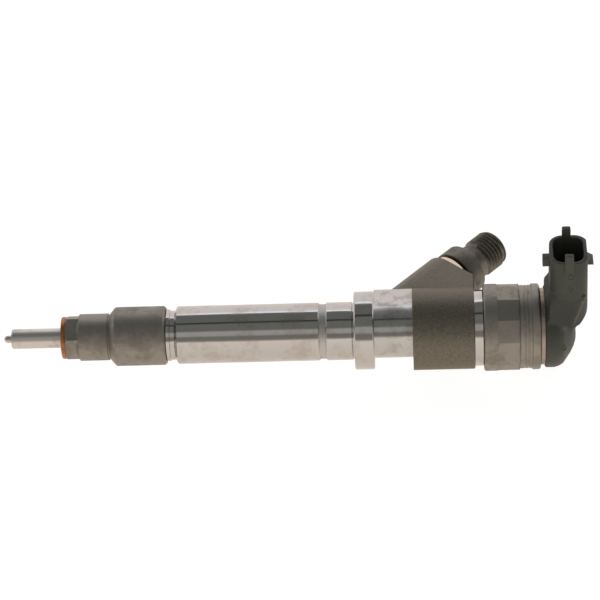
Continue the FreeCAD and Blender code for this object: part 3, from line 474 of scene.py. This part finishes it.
def body_finish():
    """The injector body: polished shaft, collar and core, milled flats, forged head and boss."""
    material, tree, shader, place = new_finish("ground_and_forged_steel")
    where = used(tree, STATIONS, Place=place)
    station, radius = where["Station"], where["Radius"]
    parts = tree.nodes.new("ShaderNodeSeparateXYZ")
    tree.links.new(place, parts.inputs[0])
    past_inlet = maths(tree, "SUBTRACT", station, INLET_FOOT.x / MM)
    along = weighed(
        tree, past_inlet, math.cos(INLET_ANGLE), parts.outputs[1], math.sin(INLET_ANGLE)
    )

    behind_gap = maths(tree, "GREATER_THAN", station, FORGING_START)
    outside = maths(tree, "GREATER_THAN", radius, HEAD_EDGE)
    behind_collar = maths(tree, "GREATER_THAN", station, GAP_START)
    boss = maths(tree, "MULTIPLY", outside, behind_collar)
    inside_land = maths(tree, "LESS_THAN", radius, LAND_EDGE)
    past_head = maths(tree, "GREATER_THAN", station, FORGING_END)
    land = maths(tree, "MULTIPLY", inside_land, past_head)
    ring = maths(tree, "GREATER_THAN", along, BOSS_TOP)
    machined = maths(tree, "MAXIMUM", land, ring)
    forged = maths(tree, "SUBTRACT", maths(tree, "MAXIMUM", behind_gap, boss), machined)
    forged = maths(tree, "MAXIMUM", forged, 0.0)
    in_gap = maths(tree, "MULTIPLY", behind_collar, maths(tree, "LESS_THAN", station, GAP_END))
    groove_front = maths(tree, "GREATER_THAN", station, GROOVE_START)
    groove_back = maths(tree, "LESS_THAN", station, GROOVE_END)
    groove = maths(tree, "MULTIPLY", groove_front, groove_back)
    core = maths(tree, "MULTIPLY", in_gap, maths(tree, "LESS_THAN", radius, CORE_EDGE))
    front_side = maths(tree, "LESS_THAN", parts.outputs[1], 2.0)
    core = maths(tree, "MULTIPLY", core, front_side)
    flats = maths(tree, "MULTIPLY", in_gap, maths(tree, "SUBTRACT", 1.0, core))

    stains = used(tree, STAINS, Place=place, Size=0.10)["Mask"]
    small_stains = used(tree, STAINS, Place=place, Size=0.2)["Mask"]
    grain = used(tree, GRAIN, Place=place, Grains=5.5)
    rings = used(tree, TURNING, Place=place, Rings=9.0)["Height"]

    polish = blended(tree, stains, (0.565, 0.545, 0.530), (0.50, 0.455, 0.43))
    flat_tone = blended(tree, small_stains, (0.60, 0.560, 0.540), (0.50, 0.445, 0.42))
    core_tone = blended(tree, small_stains, (0.545, 0.53, 0.515), (0.44, 0.42, 0.40))
    skin = blended(tree, grain["Cloud"], (0.163, 0.149, 0.119), (0.232, 0.213, 0.174))
    skin = blended(tree, maths(tree, "MULTIPLY", grain["Specks"], 0.4), skin, (0.38, 0.35, 0.31))
    tone = blended(tree, flats, polish, flat_tone)
    tone = blended(tree, core, tone, core_tone)
    # The seat ring is real machined steel; its cream-orange colour is partly painted reflection of
    # warm light on it.
    tone = blended(tree, ring, tone, (0.72, 0.58, 0.46))
    tone = blended(tree, forged, tone, skin)
    wired(tree, shader, "Base Color", tone)
    shader.inputs["Metallic"].default_value = 1

    polish_rough = between(tree, stains, 0.09, 0.17)
    flat_rough = between(tree, small_stains, 0.26, 0.40)
    rough = between(tree, flats, polish_rough, flat_rough)
    rough = between(tree, core, rough, 0.15)
    rough = between(tree, groove, rough, 0.50)
    rough = between(tree, forged, rough, between(tree, grain["Cloud"], 0.50, 0.58))
    wired(tree, shader, "Roughness", rough)

    ground = maths(tree, "MULTIPLY", rings, 0.05)
    rolled = maths(tree, "MULTIPLY", noise(tree, place, 0.25, 2), 0.8)
    ground = maths(tree, "ADD", ground, rolled)
    height = between(tree, forged, ground, maths(tree, "MULTIPLY", grain["Height"], 1.4))
    raised(tree, shader, height, 0.010)
    return material


def plastic_finish(name, colour, faded, rough, grains=7.0, depth=0.012):
    """Moulded plastic with a spark-eroded skin, paler where it has been rubbed."""
    material, tree, shader, place = new_finish(name)
    grain = used(tree, GRAIN, Place=place, Grains=grains)
    rubbed = used(tree, STAINS, Place=place, Size=0.16)["Mask"]
    tone = blended(tree, rubbed, colour, faded)
    speck_tone = tuple(2.2 * c for c in faded)
    tone = blended(tree, maths(tree, "MULTIPLY", grain["Specks"], 0.25), tone, speck_tone)
    wired(tree, shader, "Base Color", tone)
    wired(tree, shader, "Roughness", between(tree, grain["Cloud"], rough, rough + 0.10))
    raised(tree, shader, grain["Height"], depth)
    return material


FINISHES = {
    "ground_steel": body_finish(),
    "nozzle_steel": metal_finish(
        "nozzle_steel", (0.66, 0.625, 0.59), (0.55, 0.50, 0.46), 0.34, rings=10.0,
    ),
    "hardened_steel": metal_finish(
        "hardened_steel", (0.58, 0.58, 0.57), (0.46, 0.45, 0.43), 0.18, rings=12.0,
    ),
    "spring_steel": metal_finish(
        "spring_steel", (0.30, 0.30, 0.30), (0.20, 0.19, 0.18), 0.32, grains=14.0,
    ),
    "phosphated_steel": metal_finish(
        "phosphated_steel", (0.325, 0.303, 0.270), (0.285, 0.264, 0.234), 0.45, rings=6.0, grains=12.0,
        depth=0.003, size=0.09, speck=0.06,
    ),
    "black_oxide_steel": metal_finish(
        "black_oxide_steel", (0.200, 0.186, 0.160), (0.150, 0.138, 0.117), 0.42, grains=8.0,
        depth=0.008, size=0.2, speck=0.12,
    ),
    # The sleeve steel's darker brown base is partly its own tone and partly painted shade for the gap
    # under its collar.
    "sleeve_steel": metal_finish(
        "sleeve_steel", (0.42, 0.345, 0.29), (0.34, 0.26, 0.205), 0.35, rings=8.0,
    ),
    "magnet_iron": metal_finish(
        "magnet_iron", (0.22, 0.21, 0.20), (0.15, 0.14, 0.13), 0.5, grains=12.0,
    ),
    "copper": metal_finish(
        "copper", (0.50, 0.20, 0.09), (0.34, 0.135, 0.065), 0.34, rings=10.0, depth=0.004,
    ),
    "copper_wire": metal_finish(
        "copper_wire", (0.62, 0.27, 0.12), (0.48, 0.18, 0.08), 0.28, grains=16.0,
    ),
    "tinned_brass": metal_finish(
        "tinned_brass", (0.62, 0.58, 0.50), (0.48, 0.43, 0.34), 0.25, grains=12.0,
    ),
    "bobbin_plastic": plastic_finish(
        "bobbin_plastic", (0.62, 0.58, 0.46), (0.55, 0.50, 0.38), 0.45,
    ),
    "cap_plastic": plastic_finish(
        "cap_plastic", (0.043, 0.049, 0.037), (0.054, 0.059, 0.046), 0.46,
    ),
    "rubber": plastic_finish(
        "rubber", (0.018, 0.018, 0.018), (0.026, 0.026, 0.026), 0.7, grains=12.0,
    ),
}


# ---------------------------------------------------------------- pieces

def dress_cad_nodes():
    """Gives every CAD node the finish of its own material slot."""
    for entry in frame["record"]["subparts"]:
        node = NODES[entry["node"]]
        node.data.materials.clear()
        node.data.materials.append(FINISHES[entry["material_slot"]])


def softened_piece(node, name, slot, width, over=30, sharp=32):
    """A CAD part with its machined edges broken."""
    shell = copied(node)
    soften(shell, width, over=over)
    return finished(shell, name, FINISHES[slot], replaced=(node,), sharp=sharp)


def sealing_washer():
    """The copper washer, its rims rounded over by the press."""
    low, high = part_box("copper_washer")
    outer = high.z / MM
    hole = 3.75
    front, back = low.x / MM, high.x / MM
    shell = spun([(front, hole), (front, outer), (back, outer), (back, hole)])
    soften(shell, 0.35, segments=4)
    finished(shell, "sealing_washer", FINISHES["copper"], replaced=("copper_washer",))


def inlet_union():
    """The inlet fitting with its cut thread, rounded flange and cone for the pipe."""
    crest, root, pitch = 7.0, 6.2, 1.5
    shell = spun([
        (23.05, 1.9), (23.05, 5.8), (23.65, 6.4), (35.9, 6.4), (36.3, 6.0), (37.7, 6.0),
        (37.7, 9.2), (43.9, 9.2), (44.9, 7.4), (45.6, 6.5), (48.9, 6.5), (49.4, root),
        (58.6, root), (58.6, 6.55), (59.05, 6.55), (59.2, 6.4), (59.2, 4.4), (54.9, 1.9),
    ])
    soften(shell, 0.28, segments=3, over=20)
    turns, start = 5.1, 49.9
    thread = bmesh.new()
    ridge = [
        (0.0, root - 0.15), (0.46, crest - 0.08), (0.54, crest),
        (0.72, crest), (0.80, crest - 0.08), (1.26, root - 0.15),
    ]
    corners = [thread.verts.new(((start + x) * MM, 0, radius * MM)) for x, radius in ridge]
    edges = [thread.edges.new(pair) for pair in zip(corners, corners[1:])]
    edges.append(thread.edges.new((corners[-1], corners[0])))
    steps = int(turns * 72)
    bmesh.ops.spin(
        thread, geom=corners + edges, cent=(0, 0, 0), axis=(1, 0, 0),
        dvec=(pitch * turns / steps * MM, 0, 0), angle=2 * math.pi * turns, steps=steps,
        use_merge=False, use_duplicate=False,
    )
    open_edges = [edge for edge in thread.edges if edge.is_boundary]
    bmesh.ops.holes_fill(thread, edges=open_edges, sides=0)
    put_on_inlet(shell)
    put_on_inlet(thread)
    finish = FINISHES["black_oxide_steel"]
    finished(shell, "inlet_union", finish, replaced=("inlet_fitting",))
    finished(thread, "inlet_union_thread", finish, sharp=50)


def spray_hole_shade_discs():
    """Seven spray holes round the sac dome, as small near-black discs of painted shade set into it in
    place of real holes.
    """
    centre = Vector((-19.6, 0, 0))
    shell = bmesh.new()
    for number in range(7):
        made = bmesh.ops.create_circle(shell, cap_ends=True, segments=12, radius=0.10 * MM)
        rim = made["verts"]
        around = Matrix.Rotation(2 * math.pi * number / 7, 4, "X")
        out = around @ Matrix.Rotation(math.radians(-62), 4, "Y")
        face = Matrix.Translation(centre * MM) @ out @ Matrix.Translation((0, 0, 1.285 * MM))
        bmesh.ops.transform(shell, matrix=face, verts=rim)
    whole = shell.faces[:] + shell.edges[:] + shell.verts[:]
    bmesh.ops.solidify(shell, geom=whole, thickness=-0.02 * MM)
    # The near-black discs are painted shade standing in for the dark insides of the holes.
    finished(shell, "spray_hole_shade_discs", FINISHES["rubber"])


def winding():
    """The coil's copper wire, wound in five layers."""
    inner, wire, length, turns = 5.9, 0.22, 7.9, 16
    shell = bmesh.new()
    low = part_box("coil_winding")[0]
    for layer in range(5):
        made = bmesh.ops.create_circle(shell, cap_ends=False, segments=6, radius=wire * MM)
        section = made["verts"]
        lift = inner + wire + layer * wire * 2 * 0.98
        spot = Matrix.Translation((low.x + wire * MM, 0, lift * MM))
        place = spot @ Matrix.Rotation(math.pi / 2, 4, "Y") @ Matrix.Rotation(math.pi / 2, 4, "X")
        bmesh.ops.transform(shell, matrix=place, verts=section)
        edges = [edge for vertex in section for edge in vertex.link_edges]
        bmesh.ops.spin(
            shell, geom=section + list(set(edges)), cent=(0, 0, 0), axis=(1, 0, 0),
            dvec=((length - 2.4 * wire) / (turns * 36) * MM, 0, 0), angle=2 * math.pi * turns,
            steps=turns * 36, use_merge=False, use_duplicate=False,
        )
    bmesh.ops.holes_fill(shell, edges=[e for e in shell.edges if e.is_boundary], sides=0)
    finished(shell, "winding", FINISHES["copper_wire"], replaced=("coil_winding",), sharp=70)


def pushed_spring(node, name):
    """A coil spring, copied from its CAD node with a mesh of its own."""
    piece = finished(
        copied(node), name, FINISHES["spring_steel"], replaced=(node,), sharp=40
    )
    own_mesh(piece)


def is_hollow(vertex):
    """True where the surface turns inwards, as in a corner between two walls."""
    middle = Vector()
    for edge in vertex.link_edges:
        middle += edge.other_vert(vertex).co
    middle /= len(vertex.link_edges)
    return (middle - vertex.co).dot(vertex.normal) > 0.035 * MM


def cap_skirt():
    """A wedge that fills the corner between the round cap and its tower."""
    wedge = bmesh.new()
    bmesh.ops.create_cube(wedge, size=2)
    for vertex in wedge.verts:
        top = vertex.co.z > 0
        width, front, back, height = (7.4, 172.9, 184.8, 19.8) if top else (11.2, 171.3, 180.8, 8.5)
        station = back if vertex.co.x > 0 else front
        vertex.co = Vector((station, math.copysign(width, vertex.co.y), height)) * MM
    mesh = bpy.data.meshes.new("cap_skirt")
    wedge.to_mesh(mesh)
    wedge.free()
    return mesh


def cap_moulding():
    """The plastic cap: the lower half flows together like a moulding, the socket stays crisp."""
    split = 23.0 * MM
    filled = copied("connector_cap")
    filled.from_mesh(cap_skirt())
    rough = made_object(filled, "rough_cap")
    remesh = rough.modifiers.new("even_skin", "REMESH")
    remesh.mode = "VOXEL"
    remesh.voxel_size = 0.3 * MM
    even = bpy.data.meshes.new_from_object(rough.evaluated_get(bpy.context.evaluated_depsgraph_get()))
    bpy.data.objects.remove(rough)
    lower = bmesh.new()
    lower.from_mesh(even)
    bmesh.ops.bisect_plane(
        lower, geom=lower.verts[:] + lower.edges[:] + lower.faces[:], plane_co=(0, 0, split),
        plane_no=(0, 0, 1), clear_outer=True,
    )
    lower.normal_update()
    front = 171.0 * MM
    seam = {
        v for v in lower.verts
        if 2.5 * MM < v.co.z < 19.5 * MM and v.co.x > front + 0.9 * MM and is_hollow(v)
    }
    for _ in range(12):
        seam |= {
            edge.other_vert(v) for v in seam for edge in v.link_edges
            if edge.other_vert(v).co.x > front + 0.4 * MM and edge.other_vert(v).co.z < 21 * MM
        }
    seam = list(seam)
    for _ in range(60):
        bmesh.ops.smooth_vert(
            lower, verts=seam, factor=0.5, use_axis_x=True, use_axis_y=True, use_axis_z=True
        )
    bmesh.ops.smooth_vert(
        lower, verts=[v for v in lower.verts if v.co.z < split - 1 * MM], factor=0.5,
        use_axis_x=True, use_axis_y=True, use_axis_z=True,
    )
    upper = copied("connector_cap")
    bmesh.ops.bisect_plane(
        upper, geom=upper.verts[:] + upper.edges[:] + upper.faces[:], plane_co=(0, 0, split),
        plane_no=(0, 0, 1), clear_inner=True,
    )
    soften(upper, 0.18, segments=2, over=40)
    joined = bpy.data.meshes.new("upper_cap")
    upper.to_mesh(joined)
    upper.free()
    lower.from_mesh(joined)
    finished(lower, "cap_moulding", FINISHES["cap_plastic"], replaced=("connector_cap",))


def mould_rings():
    """The small witness rings that ejector pins leave on the cap."""
    shell = bmesh.new()
    skin = BVHTree.FromBMesh(copied("connector_cap"))
    for station, lift, radius in ((177.3, 1.2, 1.05), (179.7, 29.0, 1.05), (179.7, 23.4, 0.75)):
        start = Vector((station, -40, lift)) * MM
        centre, outward = skin.ray_cast(start, Vector((0, 1, 0)))[:2]
        made = bmesh.ops.create_circle(shell, cap_ends=False, segments=8, radius=0.12 * MM)
        section = made["verts"]
        edges = list({edge for vertex in section for edge in vertex.link_edges})
        stand = Matrix.Translation(Vector((radius, 0, 0)) * MM) @ Matrix.Rotation(math.pi / 2, 4, "X")
        bmesh.ops.transform(shell, matrix=stand, verts=section)
        bmesh.ops.spin(
            shell, geom=section + edges, cent=(0, 0, 0), axis=(0, 0, 1), dvec=(0, 0, 0),
            angle=2 * math.pi, steps=32, use_merge=True, use_duplicate=False,
        )
        ring = [v for v in shell.verts if v.co.length < 3 * MM]
        turn = Vector((0, 0, 1)).rotation_difference(outward).to_matrix().to_4x4()
        bmesh.ops.transform(shell, matrix=Matrix.Translation(centre) @ turn, verts=ring)
    finished(shell, "mould_rings", FINISHES["cap_plastic"])


set_up_camera()
set_up_studio()
lay_floor()
dress_cad_nodes()
softened_piece("injector_body", "forged_body", "ground_steel", 0.25)
softened_piece("nozzle_nut", "retaining_nut", "phosphated_steel", 0.15, over=20, sharp=20)
softened_piece("solenoid_nut", "cap_nut", "phosphated_steel", 0.15, over=20, sharp=20)
sealing_washer()
inlet_union()
spray_hole_shade_discs()
cap_moulding()
mould_rings()
winding()
pushed_spring("needle_spring", "nozzle_spring_coil")
pushed_spring("valve_spring", "valve_spring_coil")
